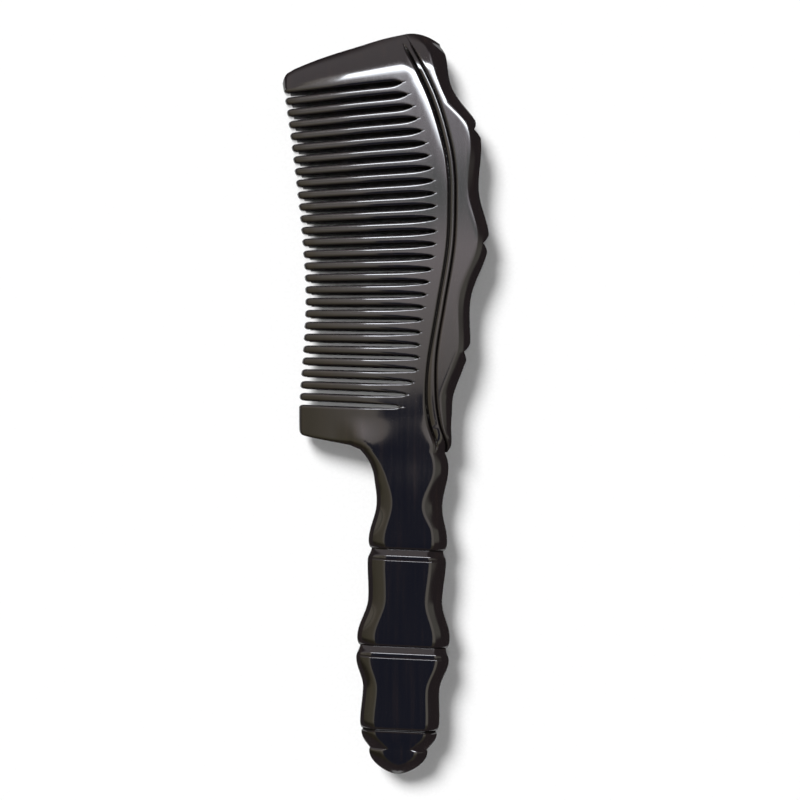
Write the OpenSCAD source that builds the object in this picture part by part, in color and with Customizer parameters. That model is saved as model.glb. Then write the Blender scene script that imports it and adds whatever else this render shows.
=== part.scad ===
// Handled horn comb: toothed blade, bamboo spine rail and a handle of stacked bamboo sections on a core rod.
// Millimetres. X runs from the tooth tips to the spine, Y from the butt to the top, Z out of the broad face.

/* [Teeth] */
// Length of the toothed edge, from the first saw slot to the last
tooth_field = 83.3; // [76:0.1:92]
// Spacing aimed at between saw slots, which sets the number of teeth
tooth_pitch = 3.2; // [2.8:0.1:4.6]
// Width of a saw slot near the tooth tips
slot_mouth = 1.1; // [0.9:0.05:1.5]
// Width of a saw slot near its inner end
slot_root = 1.1; // [0.8:0.05:1.4]
// Thickness of the blade at the tooth tips
tip_thickness = 4; // [2.4:0.1:5]

/* [Spine] */
// Thickness of the spine rail beside the handle
spine_foot_thickness = 9.6; // [8:0.1:10]
// Thickness of the spine rail at the top of the comb
spine_top_thickness = 7.4; // [6:0.1:8]
// How far the plate lies below the spine rail on each face
plate_step = 0.3; // [0.2:0.05:0.8]
// Depth of the two scribed grooves beside the spine rail
groove_depth = 0.7; // [0.3:0.05:0.9]

/* [Handle] */
// Length of the handle, from its joint with the blade to the butt
handle_length = 87.3; // [75:0.1:105]
// Width of the neck at its waist
neck_width = 17.8; // [16.4:0.2:20]
// Thickness of the handle between its flat lands
handle_thickness = 9.6; // [9:0.1:11]
// Lean of the handle away from the line of the teeth, in degrees
handle_lean = 2.6; // [0:0.1:5]
// Depth of the ring grooves around the handle
ring_depth = 0.9; // [0.5:0.05:1.2]

/* [Joints] */
// Diameter of the core rod that strings the handle sections
rod_diameter = 4; // [3:0.1:4.4]
// Width of the tang that joins the blade to the neck
tang_width = 11; // [8:0.2:12]
// Thickness of the tang
tang_thickness = 4; // [3:0.1:4.6]
// Depth of the tongue that joins the blade to the spine rail
tongue_depth = 2; // [1.2:0.1:2.6]
// Thickness of the tongue
tongue_thickness = 2; // [1.4:0.1:2.4]
// Room for glue on each side of a tongue, tang or rod
glue_gap = 0.1; // [0.05:0.01:0.2]

/* [Hidden] */
$fn = 48;

// Least half thickness left at an edge, and the slope to which a buffed edge falls away
edge_half = 0.35;
edge_slope = 0.84;
handle_half = handle_thickness / 2;
joint_half = spine_foot_thickness / 2 - plate_step;
rest_height = max(handle_thickness, spine_foot_thickness) / 2;

// The teeth fan from one far centre: a is the distance out along a tooth and b the distance along the tips,
// with b = 0 at the tooth that lies level. Lengths along the tips are written for the drawn field
fan_radius = 460;
level_tip = [-22, 28.3];
drawn_field = 83.3;
stretch = tooth_field / drawn_field;

first_slot = -28;
last_slot = first_slot + drawn_field;
slot_count = round(tooth_field / tooth_pitch) + 1;
slot_step = drawn_field / (slot_count - 1);
half_pitch = slot_step * stretch / 2;
// The slots fan out a little less than the head: how far the inner ends of the first and last slot turn
slot_turn = [0.4, -0.6];

// Lines of the head as [b, a]: the tooth tips, the inner ends of the slots and the joint with the spine rail
tip_line = [[-38, 0.2], [-28, -0.5], [-10, 0], [0, 0.3], [12, -0.1], [35, -1.3], [60, -2.2]];
slot_end_line = [[-28, 26.8], [-25, 28.2], [-18.5, 30.9], [-9, 31.4], [1, 32.9], [10, 35], [18, 36],
    [30, 35.8], [39, 34.6], [49, 32], [55.5, 29.9]];
notch = [-38.4, 39.9];
top_right = [67.3, 32.5];
spine_line = [notch, [-36.5, 40.1], [-31.3, 37.8], [-24.4, 36.3], [-14, 36], [-2, 37.8], [13, 40.6],
    [24, 41.6], [31, 41.9], [38, 41.4], [50, 38.9], [62.5, 34.4], top_right];

// The top edge as [a, b]
top_line = [[-2.2, 59], [-1.6, 60.4], [-0.5, 61.6], [1.8, 62.5], [10, 64.4], [21, 66.1], [26.5, 66.9],
    reverse(top_right)];

// The scribed groove on the plate: its distance from the spine joint, which widens towards the notch, and its
// half width. Near both ends the plate falls to it in a bank. The shoulder is the reach of the second groove,
// which lies on the joint itself. Both fade out between two shares of the way up the top rows
ridge_width = 1.7;
ridge_foot_width = 2.7;
ridge_widens_from = -8;
ridge_widens_over = 20;
groove_half = 0.45;
bank_reach = 3.2;
bank_drop = 0.35;
top_bank = [26, 46];
foot_bank = [-24, -36];
shoulder = 0.6;
groove_top_shares = [0.45, 0.8];

// Bamboo nodes of the spine rail along b, the rail's width at each and at the waists between them
rail_nodes = [-13.2, 13.4, 41.2, 62.8];
rail_knuckles = [8.9, 9.5, 8.5, 7.8];
rail_waists = [6.9, 6.3, 5];
rail_foot = [[-38.4, 0.3], [-33.5, 2.4], [-28.5, 3.9], [-24, 4.8], [-18, 7.2], [-15, 8.3], [-13.2, 8.9]];
node_notches = [1.6, 1.6, 1.4, 0.5];
notch_half = 2.4;
rail_top_b = 63.7;
rail_top_bulge = 1;

// Lengths down the handle are written for the drawn one. Then the three ring joints, the half widths there
// and the half widths at the waist of each section
drawn_handle = 87.3;
handle_stretch = handle_length / drawn_handle;
neck_half = neck_width / 2;
ring_at = [26.4, 52.6, 75];
ring_flare = [0.8, 2.7, 0.9];
waist_flare = [0, 1.1, 1.4];
ring_half = [for (flare = ring_flare) neck_half + flare];
waist_half = [for (flare = waist_flare) neck_half + flare];
bevel_length = 3.1;
roll_length = 2.4;
// Reach of the buffed sides of each section
side_reach = [4.5, 5, 4];

// The left side of the neck runs out into the heel of the blade, the right side starts at the notch
neck_top_flare = 1.2;
neck_right_flare = 0.1;
neck_left_flare = 5.2;
neck_top_half = neck_half + neck_top_flare;
neck_top_at = 4.5;
neck_right = neck_half + neck_right_flare;
neck_left = neck_half + neck_left_flare;
neck_left_reach = 2.6;
neck_right_widens = 1.25;
fillet_length = 7.5;
fillet_round = 0.75;
neck_rise = 14;

// Butt: a short section with a last ring groove, then a dome. Sizes are [half width, half thickness]
butt_lip = 0.6;
butt_flare = [1.3, -0.3];
butt_top = [neck_half, handle_half] + butt_flare;
butt_groove_at = 80.2;
butt_groove_flare = [-1.2, -1.2];
butt_groove = [neck_half, handle_half] + butt_groove_flare;
dome_start = 80.7;
dome_end = drawn_handle;
dome_flare = [-1, -1.1];
dome = [neck_half, handle_half] + dome_flare;
dome_edge = 1.8;
dome_fullness = 0.6;
dome_cut = 0.985;

// Where the joints start and stop
tang_length = 13;
tang_root = 3;
rod_start = 15;
rod_cover = 4.5;
rod_end = dome_end - rod_cover;
rod_play = 0.5;
tongue_start = -26;
tongue_end = 57;
tongue_root = 1;
bore_overrun = 1;

function lerp(p, q, t) = p + (q - p) * t;
function reverse(list) = [for (i = [len(list) - 1:-1:0]) list[i]];
function clamp(t) = min(1, max(0, t));
function ease(t) = let (c = clamp(t)) c * c * (3 - 2 * c);
function between(ends, x) = ease((x - ends[0]) / (ends[1] - ends[0]));

// Quarter round that rises from 0 at an edge to 1 at a distance r from it
function roundover(d, r) = d >= r ? 1 : sqrt(1 - pow(1 - max(0, d) / r, 2));

// Share of the thickness left at a distance d from a buffed edge, which falls away ever more steeply
function edge_keep(d, reach) = 1 - edge_slope * reach / 2 * pow(clamp(1 - d / reach), 2) / handle_half;

// Smooth curve through [x, y] points, read at x
function span(p, x, i = 0) = i >= len(p) - 2 || x < p[i + 1][0] ? i : span(p, x, i + 1);
function slope(p, i) =
    let (j = max(0, i - 1), k = min(len(p) - 1, i + 1)) (p[k][1] - p[j][1]) / (p[k][0] - p[j][0]);
function curve(p, x) =
    let (i = span(p, x), w = p[i + 1][0] - p[i][0], t = (x - p[i][0]) / w, s = t * t * (3 - 2 * t))
    lerp(p[i][1], p[i + 1][1], s)
        + w * t * (1 - t) * ((1 - t) * slope(p, i) - t * slope(p, i + 1));

// Width of a bamboo section between two knuckles, t running from 0 to 1
function bell(t) = t < 0.5 ? (1 + cos(360 * t)) / 2 : 0;
function bamboo(t, start, waist, finish) =
    waist + (start - waist) * bell(t) + (finish - waist) * bell(1 - t);

// Plan position of a point of the head
fan_centre = level_tip - [fan_radius, 0];
function fan_angle(b) = b * stretch / fan_radius * 180 / PI;
function fan_xy(a, b) = fan_centre + (fan_radius + a) * [cos(fan_angle(b)), sin(fan_angle(b))];

// Plan position of a point of the handle: u across it to the right, v down its length from the blade joint
across = [cos(handle_lean), -sin(handle_lean)];
down = [-sin(handle_lean), -cos(handle_lean)];
joint_centre = fan_xy(notch[1], notch[0]) - neck_right * across;
function handle_xy(u, v) = joint_centre + u * across + v * handle_stretch * down;

function tip_a(b) = curve(tip_line, b);

// The straight joint with the neck, as b for a given a, and its left end on the heel. The heel runs from the
// corner at the tips, given as [a, b], to a fillet before the joint, given from the joint's left end
joint_offset = (joint_centre - fan_centre) * down;
function joint_b(a) =
    (acos(joint_offset / (fan_radius + a)) - 90 - handle_lean) * PI / 180 * fan_radius / stretch;
joint_left = handle_xy(-neck_left, 0);
joint_left_a = norm(joint_left - fan_centre) - fan_radius;
heel_corner = -35.4;
heel_start = [[0.35, -36.2], [1.2, -36.8], [5, -37.4]];
heel_fillet = [[-3.5, -38.3], [-1.1, -38.7]];
heel_line = concat([[tip_a(heel_corner), heel_corner]], heel_start,
    [for (p = heel_fillet) p + [joint_left_a, 0]], [[joint_left_a, joint_b(joint_left_a)]]);
function heel_b(a) = a < joint_left_a ? curve(heel_line, a) : joint_b(a);

function spine_a(b) = curve(spine_line, b);
function spine_half(b) =
    lerp(spine_foot_thickness, spine_top_thickness, (b - notch[0]) / (top_right[0] - notch[0])) / 2;
function ridge(b) =
    lerp(ridge_width, ridge_foot_width, ease((ridge_widens_from - b) / ridge_widens_over));

// Rows along the head, shared by blade and spine: heel rows and top rows run from 0 to 1, the rest are b
heel_rows = [0, 0.03, 0.09, 0.18, 0.3, 0.5, 0.75];
top_rows = [0.15, 0.3, 0.5, 0.68, 0.8, 0.89, 0.95, 1];
end_tooth = 1.6;
heel_edge_b = first_slot - end_tooth;
guard_edge_b = last_slot + end_tooth;
node_rows = [-6, -3.6, -2.4, -1.1, 0, 1.1, 2.4, 3.6, 6];
tooth_rows = concat(
    [heel_edge_b, -24],
    [for (o = node_rows) rail_nodes[0] + o],
    [-3, 0.8, 4.5],
    [for (o = node_rows) rail_nodes[1] + o],
    [24, 28, 32],
    [for (o = node_rows) rail_nodes[2] + o],
    [50, 53.5, guard_edge_b]);

// A blade row: [b, left a, right a, how far from the heel edge, how far to the top edge]
blade_rows = concat(
    [for (t = heel_rows)
        let (b = lerp(notch[0], heel_edge_b, t))
        [b, tip_a(lerp(heel_corner, heel_edge_b, t)), spine_a(b), t, 0]],
    [for (b = tooth_rows) [b, tip_a(b), spine_a(b), 1, 0]],
    [for (t = top_rows)
        let (b = lerp(guard_edge_b, top_right[0], t))
        [b, tip_a(lerp(guard_edge_b, top_line[0][1], t)), spine_a(b), 1, t]]);

// Plan point of the blade at share s of the way from the tips to the spine joint
function blade_xy(row, s) =
    let (a = lerp(row[1], row[2], s),
        heel_a = lerp(heel_line[0][0], notch[1], s),
        top_a = lerp(top_line[0][0], top_right[1], s),
        b = row[3] < 1 ? lerp(heel_b(heel_a), heel_edge_b, row[3])
            : row[4] > 0 ? lerp(guard_edge_b, curve(top_line, top_a), row[4])
            : row[0])
    fan_xy(a, b);
heel_row = blade_rows[0];
top_row = blade_rows[len(blade_rows) - 1];

// Shares across a blade row: a rounded tip, the plate with a point at the neck joint, then the scribed groove
tip_round = 1.6;
tip_steps = [0, 0.1, 0.5, tip_round];
joint_share = (joint_left_a - heel_line[0][0]) / (notch[1] - heel_line[0][0]);
joint_steps = [-0.08, 0, 0.03, 0.08, 0.15];
plate_shares = concat([0.11, 0.19, 0.28], [for (d = joint_steps) joint_share + d], [0.69, 0.78]);
function blade_shares(row) =
    let (w = row[2] - row[1],
        r = ridge(row[0]),
        bank = [r + bank_reach, r + bank_reach / 2],
        groove = [r + groove_half, r, r - groove_half])
    concat([for (d = tip_steps) d / w], plate_shares,
        [for (d = concat(bank, groove, [shoulder, 0])) 1 - d / w]);

// The plate is flat beside the spine and thins in a parabola towards the tips
flat_share = 0.8;
function plate_rise(s) = 1 - pow(1 - min(1, s / flat_share), 2);

// The bevel along the top edge, as a share of the thickness
guard_reach = [5.9, 11.6];
guard_fall_share = 0.72;
function guard_drop(from_top, s) =
    guard_fall_share * pow(clamp(1 - from_top / lerp(guard_reach[0], guard_reach[1], s)), 2);

// Half thickness of the blade: the plate, blended into the neck, buffed at its free edges, with grooves.
// far lies past the reach of every edge. The grooves fade out over the first share of the heel rows
far = 100;
tip_edge_share = 0.5;
heel_reach = 1;
heel_widens_shares = [0.6, 1];
neck_blend = 0.12;
groove_fade = 0.6;
function blade_half(row, s) =
    let (p = blade_xy(row, s),
        plate = lerp(tip_thickness / 2, spine_half(row[0]) - plate_step, plate_rise(s)),
        neck_share = ease((s - joint_share) / neck_blend + 1) * (1 - ease(row[3])),
        full = lerp(plate, joint_half, neck_share),
        tip = lerp(tip_edge_share, 1, roundover(norm(p - blade_xy(row, 0)), tip_round)),
        from_joint_left = s > joint_share ? fillet_round * norm(blade_xy(heel_row, s) - joint_left) : 0,
        from_heel = row[3] < 1 ? norm(p - blade_xy(heel_row, s)) + from_joint_left : far,
        from_top = row[4] > 0 ? norm(p - blade_xy(top_row, s)) : far,
        from_right = norm(p - blade_xy(row, 1)),
        open = ease(row[3] / groove_fade) * (1 - between(groove_top_shares, row[4])),
        widening = between(heel_widens_shares, s / joint_share),
        heel = edge_keep(from_heel, lerp(heel_reach, neck_left_reach, widening)),
        side = row[3] < 1 ? lerp(edge_keep(from_right, side_reach[0]), 1, open) : 1,
        half = full * tip * heel * side * (1 - guard_drop(from_top, s)),
        off_groove = from_right - ridge(row[0]),
        bank_share = max(between(top_bank, row[0]), between(foot_bank, row[0])),
        bank = off_groove > 0 ? bank_drop * bank_share * pow(clamp(1 - off_groove / bank_reach), 2) : 0,
        scribe = max(0, 1 - abs(off_groove) / groove_half),
        grooves = groove_depth * (1 - roundover(from_right, shoulder) + scribe))
    max(edge_half, half - open * (bank + grooves));

// Spine rail width along b, and the depth of the notch at each bamboo node
function rail_section(b, i) =
    let (t = (b - rail_nodes[i]) / (rail_nodes[i + 1] - rail_nodes[i]))
    t > 1 && i < len(rail_waists) - 1 ? rail_section(b, i + 1)
        : bamboo(clamp(t), rail_knuckles[i], rail_waists[i], rail_knuckles[i + 1]);
function rail_width(b) = b < rail_nodes[0] ? curve(rail_foot, b) : rail_section(b, 0);
function node_notch(b) = max([for (i = [0:len(rail_nodes) - 1])
    node_notches[i] * pow(clamp(1 - abs(b - rail_nodes[i]) / notch_half), 1.5)]);

// A spine row: [b at the joint, b at the outer edge, how far to the top edge]
spine_rows = concat(
    [for (i = [1:len(heel_rows) - 1]) let (b = blade_rows[i][0]) [b, b, 0]],
    [for (b = tooth_rows) [b, b, 0]],
    [for (t = top_rows) [lerp(guard_edge_b, top_right[0], t), lerp(guard_edge_b, rail_top_b, t), t]]);

// Plan point of the spine at share s of the way from the joint to its outer edge
function spine_xy(row, s) =
    let (inner = spine_a(row[0]),
        outer = spine_a(row[1]) + rail_width(row[1]) - node_notch(row[1]),
        bulge = rail_top_bulge * row[2] * 4 * s * (1 - s))
    fan_xy(lerp(inner, outer, s), lerp(row[0], row[1], s) + bulge);
spine_top_row = spine_rows[len(spine_rows) - 1];

// Reach of the buffed outer side, which widens towards the top but leaves a flat beside the joint
rail_reach = [4, 5.2];
rail_widens = [42, 52];
rail_flat_share = 0.15;
function rail_side(row) =
    let (width = norm(spine_xy(row, 1) - spine_xy(row, 0)))
    min(lerp(rail_reach[0], rail_reach[1], between(rail_widens, row[1])), (1 - rail_flat_share) * width);

// Half thickness of the spine: flat on top, buffed away outside and at both ends, dropped into the groove
foot_round = 5;
function spine_half_at(row, s) =
    let (p = spine_xy(row, s),
        inner = spine_xy(row, 0),
        outer = spine_xy(row, 1),
        side = edge_keep(norm(p - outer) + node_notch(row[1]), rail_side(row)),
        foot = edge_keep(norm(p - fan_xy(notch[1], notch[0])), foot_round),
        from_top = row[2] > 0 ? norm(p - spine_xy(spine_top_row, s)) : far,
        half = spine_half(row[0]) * side * foot * (1 - guard_drop(from_top, 1)),
        joint = 1 - roundover(norm(p - inner), min(shoulder, norm(outer - inner) / 3)),
        open = 1 - between(groove_top_shares, row[2]))
    max(edge_half, half - (plate_step + groove_depth * open) * joint);
function spine_shares(row) =
    let (w = norm(spine_xy(row, 1) - spine_xy(row, 0)),
        foot = min(shoulder / w, 0.3),
        side = max(1 - rail_side(row) / w, foot + 0.1))
    concat([0, 0.3 * foot, foot, lerp(foot, side, 0.35)],
        [for (t = [0, 0.3, 0.55, 0.75, 0.9, 1]) lerp(side, 1, t)]);

// Points [distance in, height] of a buffed side of the handle. On a slanting outline the true distance from
// the edge is a share of that across the handle
side_steps = [0, 0.12, 0.28, 0.5, 0.75, 1];
function side_profile(width, half, reach, slant) =
    let (run = min(reach / slant, 0.95 * width))
    [for (t = side_steps) [run * t, half * edge_keep(run * t * slant, reach)]];

// Upper half of a handle cross-section at v: a flat land between two sides, each [half width, reach, slant]
function handle_row(v, half, left, right) =
    let (left_side = side_profile(left[0], half, left[1], left[2]),
        right_side = side_profile(right[0], half, right[1], right[2]))
    concat([for (p = left_side) concat(handle_xy(p[0] - left[0], v), p[1])],
        [for (p = reverse(right_side)) concat(handle_xy(right[0] - p[0], v), p[1])]);
function even_row(v, half_width, half, reach, slant = 1) =
    let (side = [half_width, reach, slant]) handle_row(v, half, side, side);

// Rows of a rolled shoulder that ends a section at a ring joint, and of the bevel that starts the next one:
// [distance down, share of the ring's depth]
bevel = [[0, 1], [0.8, 0.58], [1.6, 0.18], [2.1, 0.05]];
function roll_rows(i) = [for (q = [30, 60, 80, 90])
    even_row(ring_at[i] - roll_length * (1 - sin(q)), ring_half[i] + ring_depth * cos(q),
        handle_half - ring_depth * (1 - cos(q)), side_reach[i])];
function bevel_rows(i) = [for (p = bevel)
    even_row(ring_at[i] + p[0], ring_half[i] + ring_depth * ease(p[0] / bevel_length),
        handle_half - ring_depth * p[1], side_reach[i + 1])];

// Rows of the straight-sided body between a bevel and a rolled shoulder
body_steps = [for (t = [0:0.1:1]) t];
function body_rows(i) =
    let (v0 = ring_at[i - 1] + bevel_length, v1 = ring_at[i] - roll_length,
        w0 = ring_half[i - 1] + ring_depth, w1 = ring_half[i] + ring_depth)
    [for (t = body_steps)
        even_row(lerp(v0, v1, t), bamboo(t, w0, waist_half[i], w1), handle_half, side_reach[i])];
function section_rows(i) = concat(bevel_rows(i - 1), body_rows(i), roll_rows(i));

// Rows of the neck: at the top its left side spreads into the heel and its right side starts from the notch
neck_steps = [0, 0.4, 1, 2, 3.2, 4.5, 6, 8.5, 11, 14, 17, 20, 22.5, 24];
function neck_width_at(v) =
    bamboo((v - neck_top_at) / (ring_at[0] - roll_length - neck_top_at), neck_top_half, neck_half,
        ring_half[0] + ring_depth);
function neck_row(v) =
    let (spread = pow(clamp(1 - v / fillet_length), 2),
        base = v < neck_top_at ? neck_top_half : neck_width_at(v),
        right = lerp(base, neck_right, pow(clamp(1 - v / neck_top_at), 2)),
        rise = ease(v / neck_rise),
        left = base + (neck_left - neck_top_half) * spread,
        left_reach = lerp(neck_left_reach, side_reach[0], rise),
        right_reach = side_reach[0] + neck_right_widens * max(0, neck_top_half - base))
    handle_row(v, lerp(joint_half, handle_half, rise), [left, left_reach, lerp(1, fillet_round, spread)],
        [right, right_reach, 1]);

// Rows of the butt: a short rounded section, the last ring groove and the dome. Their outlines slant ever more
butt_start = ring_at[2] + butt_lip;
butt_steps = [0, 0.25, 0.5, 0.75, 1];
dome_steps = [0, 0.25, 0.5, 0.7, 0.85, 0.95, 1];
function butt_width(t) = lerp(butt_groove[0], butt_top[0], cos(90 * t));
function dome_width(t) = dome[0] * pow(cos(90 * dome_cut * t), dome_fullness);
slant_step = 0.01;
function slant(width, next, length) = 1 / norm([1, (width - next) / (slant_step * length)]);
function lip_row() = even_row(ring_at[2], ring_half[2], handle_half - ring_depth, side_reach[2]);
function butt_row(t) =
    even_row(lerp(butt_start, butt_groove_at, t), butt_width(t),
        lerp(butt_groove[1], butt_top[1], cos(90 * t)), side_reach[2],
        slant(butt_width(t), butt_width(t + slant_step), butt_groove_at - butt_start));
function dome_row(t) =
    even_row(lerp(dome_start, dome_end, t), dome_width(t), lerp(dome[1], dome_edge, t * t), side_reach[2],
        slant(dome_width(t), dome_width(t + slant_step), dome_end - dome_start));

// Solid between rows of upper points, mirrored below. The rows follow one another down the comb
module slab(rows) {
    n = len(rows[0]);
    ring = 2 * n;
    last = (len(rows) - 1) * ring;
    points = [for (row = rows) each concat(row, [for (p = reverse(row)) [p[0], p[1], -p[2]]])];
    sides = [for (r = [0:len(rows) - 2], i = [0:ring - 1])
        let (j = r * ring + i, k = r * ring + (i + 1) % ring)
        each [[j, k, j + ring], [k, k + ring, j + ring]]];
    start_cap = [for (i = [0:n - 2]) each [[i, ring - 1 - i, i + 1], [i + 1, ring - 1 - i, ring - 2 - i]]];
    end_cap = [for (f = start_cap) [f[0] + last, f[2] + last, f[1] + last]];
    polyhedron(points, concat(sides, start_cap, end_cap), convexity = 10);
}

module in_handle() {
    translate([joint_centre[0], joint_centre[1], 0]) rotate(-handle_lean) children();
}

// Tang of the blade inside the neck, grown by the gap on every side for its mortise
module tang(gap) {
    in_handle() translate([-tang_width / 2 - gap, -tang_length - gap, -tang_thickness / 2 - gap])
        cube([tang_width + 2 * gap, tang_length + tang_root + gap, tang_thickness + 2 * gap]);
}

// Tongue of the blade inside the spine rail, grown by the gap for its groove
module tongue(gap) {
    steps = [for (t = [1:-0.05:0]) lerp(tongue_start - gap, tongue_end + gap, t)];
    slab([for (b = steps) [for (a = [spine_a(b) - tongue_root, spine_a(b) + tongue_depth + gap])
        let (p = fan_xy(a, b)) [p[0], p[1], tongue_thickness / 2 + gap]]]);
}

// Core rod, or the bore for it, between two distances down the handle
module rod(from, to, radius) {
    in_handle() translate([0, -from * handle_stretch, 0]) rotate([90, 0, 0])
        cylinder(r = radius, h = (to - from) * handle_stretch);
}
module bore(from, to) {
    rod(from, to, rod_diameter / 2 + glue_gap);
}

// One saw slot: a mouth that rounds the tooth tips, straight sides and a pointed inner end.
// The nose of a tooth is [distance from the tip, share of the tooth's width], the point of a slot
// [distance from its end, share of the slot's width]
tooth_nose = [[-4, 0.3], [0, 0.3], [0.15, 0.56], [0.4, 0.8], [0.8, 0.95], [tip_round, 1]];
slot_point = [[3, 0.98], [1.2, 0.8], [0.3, 0.45]];
module slot(i) {
    b = first_slot + i * slot_step;
    start = tip_a(b);
    finish = curve(slot_end_line, b);
    turn = lerp(slot_turn[0], slot_turn[1], i / (slot_count - 1));
    tooth_half = half_pitch - slot_mouth / 2;
    side = concat(
        [for (p = tooth_nose) [start + p[0], half_pitch - tooth_half * p[1]]],
        [for (p = slot_point) [finish - p[0], slot_root / 2 * p[1]]]);
    upper = [for (p = side) [p[0], turn * clamp(p[0] / finish) + p[1]]];
    lower = [for (p = side) [p[0], turn * clamp(p[0] / finish) - p[1]]];
    translate([fan_centre[0], fan_centre[1], 0]) rotate(fan_angle(b)) translate([fan_radius, 0, 0])
        linear_extrude(height = 2 * rest_height, center = true)
            polygon(concat(upper, [[finish, turn]], reverse(lower)));
}

// The middle of the plan comes to the origin and the lowest face to Z = 0
left_x = min([for (row = blade_rows) blade_xy(row, 0)[0]]);
right_x = max([for (row = spine_rows) spine_xy(row, 1)[0]]);
top_y = max([for (s = spine_shares(spine_top_row)) spine_xy(spine_top_row, s)[1]]);
bottom_y = min([for (u = [-1, 1]) handle_xy(u * dome_width(1), dome_end)[1]]);
module placed() {
    translate([-(left_x + right_x) / 2, -(top_y + bottom_y) / 2, rest_height]) children();
}

module blade() {
    color("#2b2826") placed() {
        difference() {
            slab([for (row = reverse(blade_rows)) [for (s = blade_shares(row))
                let (p = blade_xy(row, s)) [p[0], p[1], blade_half(row, s)]]]);
            for (i = [0:slot_count - 1]) slot(i);
        }
        tongue(0);
        tang(0);
    }
}

module spine() {
    color("#241f1e") placed() difference() {
        slab([for (row = reverse(spine_rows)) [for (s = spine_shares(row))
            let (p = spine_xy(row, s)) [p[0], p[1], spine_half_at(row, s)]]]);
        tongue(glue_gap);
    }
}

module handle_neck() {
    color("#221f20") placed() difference() {
        slab(concat([for (v = neck_steps) neck_row(v)], roll_rows(0)));
        tang(glue_gap);
        bore(rod_start - rod_play, ring_at[0] + bore_overrun);
    }
}

module handle_middle() {
    color("#262324") placed() difference() {
        slab(section_rows(1));
        bore(ring_at[0] - bore_overrun, ring_at[1] + bore_overrun);
    }
}

module handle_lower() {
    color("#221f20") placed() difference() {
        slab(section_rows(2));
        bore(ring_at[1] - bore_overrun, ring_at[2] + bore_overrun);
    }
}

module handle_butt() {
    color("#262324") placed() difference() {
        slab(concat([lip_row()], [for (t = butt_steps) butt_row(t)], [for (t = dome_steps) dome_row(t)]));
        bore(ring_at[2] - bore_overrun, rod_end + rod_play);
    }
}

module core_rod() {
    color("#8d8f92") placed() rod(rod_start, rod_end, rod_diameter / 2);
}

blade();
spine();
handle_neck();
handle_middle();
handle_lower();
handle_butt();
core_rod();
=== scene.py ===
import math
from collections import namedtuple

import bpy
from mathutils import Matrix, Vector


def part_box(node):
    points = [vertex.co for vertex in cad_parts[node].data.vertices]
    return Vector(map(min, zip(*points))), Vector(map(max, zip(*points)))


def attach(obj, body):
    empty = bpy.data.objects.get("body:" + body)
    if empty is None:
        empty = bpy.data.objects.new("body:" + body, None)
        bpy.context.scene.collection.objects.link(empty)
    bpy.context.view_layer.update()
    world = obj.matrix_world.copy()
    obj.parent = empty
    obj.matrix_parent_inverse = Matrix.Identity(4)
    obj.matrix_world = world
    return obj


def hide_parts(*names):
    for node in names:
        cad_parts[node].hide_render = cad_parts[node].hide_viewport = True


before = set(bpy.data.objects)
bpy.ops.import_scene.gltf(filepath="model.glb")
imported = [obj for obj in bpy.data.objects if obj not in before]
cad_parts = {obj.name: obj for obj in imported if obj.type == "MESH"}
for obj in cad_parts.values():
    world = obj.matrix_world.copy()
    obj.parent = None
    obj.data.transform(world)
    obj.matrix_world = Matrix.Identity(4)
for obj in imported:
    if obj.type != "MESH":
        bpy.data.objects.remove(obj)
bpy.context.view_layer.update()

# Handled comb of polished black horn: a toothed blade, a bamboo-shaped spine rail and a ringed handle.
# Sizes are in millimetres, the same as in the part's source. X runs from the tooth tips to the spine,
# Y from the butt to the top and Z out of the broad face
MM = 0.001

TOOTH_FIELD = 83.3
SLOT_MOUTH = 1.1
SLOT_ROOT = 1.1
TIP_HALF = 2.0
SPINE_FOOT_HALF = 4.8
SPINE_TOP_HALF = 3.7
PLATE_STEP = 0.3
GROOVE_DEPTH = 0.7
HANDLE_HALF = 4.8
HANDLE_LEAN = math.radians(2.6)
RING_DEPTH = 0.9
NECK_HALF = 8.9
JOINT_HALF = SPINE_FOOT_HALF - PLATE_STEP

# The teeth fan from one far centre: a is the distance out along a tooth and b the distance along the tips
FAN_RADIUS = 460.0
LEVEL_TIP = (-22.0, 28.3)
FAN_CENTRE = (LEVEL_TIP[0] - FAN_RADIUS, LEVEL_TIP[1])
FIRST_SLOT = -28.0
SLOT_COUNT = 27
SLOT_STEP = TOOTH_FIELD / (SLOT_COUNT - 1)
LAST_SLOT = FIRST_SLOT + TOOTH_FIELD
SLOT_TURN = (0.4, -0.6)

# Lines of the head as (b, a): the tooth tips, the inner ends of the slots and the joint with the spine rail
TIP_LINE = [(-38, 0.2), (-28, -0.5), (-10, 0), (0, 0.3), (12, -0.1), (35, -1.3), (60, -2.2)]
SLOT_END_LINE = [(-28, 26.8), (-25, 28.2), (-18.5, 30.9), (-9, 31.4), (1, 32.9), (10, 35),
                 (18, 36), (30, 35.8), (39, 34.6), (49, 32), (55.5, 29.9)]
NOTCH = (-38.4, 39.9)
TOP_RIGHT = (67.3, 32.5)
SPINE_LINE = [NOTCH, (-36.5, 40.1), (-31.3, 37.8), (-24.4, 36.3), (-14, 36), (-2, 37.8), (13, 40.6),
              (24, 41.6), (31, 41.9), (38, 41.4), (50, 38.9), (62.5, 34.4), TOP_RIGHT]

# The top edge as (a, b)
TOP_LINE = [(-2.2, 59), (-1.6, 60.4), (-0.5, 61.6), (1.8, 62.5), (10, 64.4), (21, 66.1), (26.5, 66.9),
            (32.5, 67.3)]

# The scribed groove on the plate, and the groove on the spine joint, which reaches as far as its shoulder
RIDGE_WIDTH = 1.7
RIDGE_FOOT_WIDTH = 2.7
RIDGE_WIDENS_FROM = -8.0
RIDGE_WIDENS_OVER = 20.0
GROOVE_HALF = 0.45
BANK_REACH = 3.2
BANK_DROP = 0.35
TOP_BANK = (26.0, 46.0)
FOOT_BANK = (-24.0, -36.0)
SHOULDER = 0.6

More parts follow.
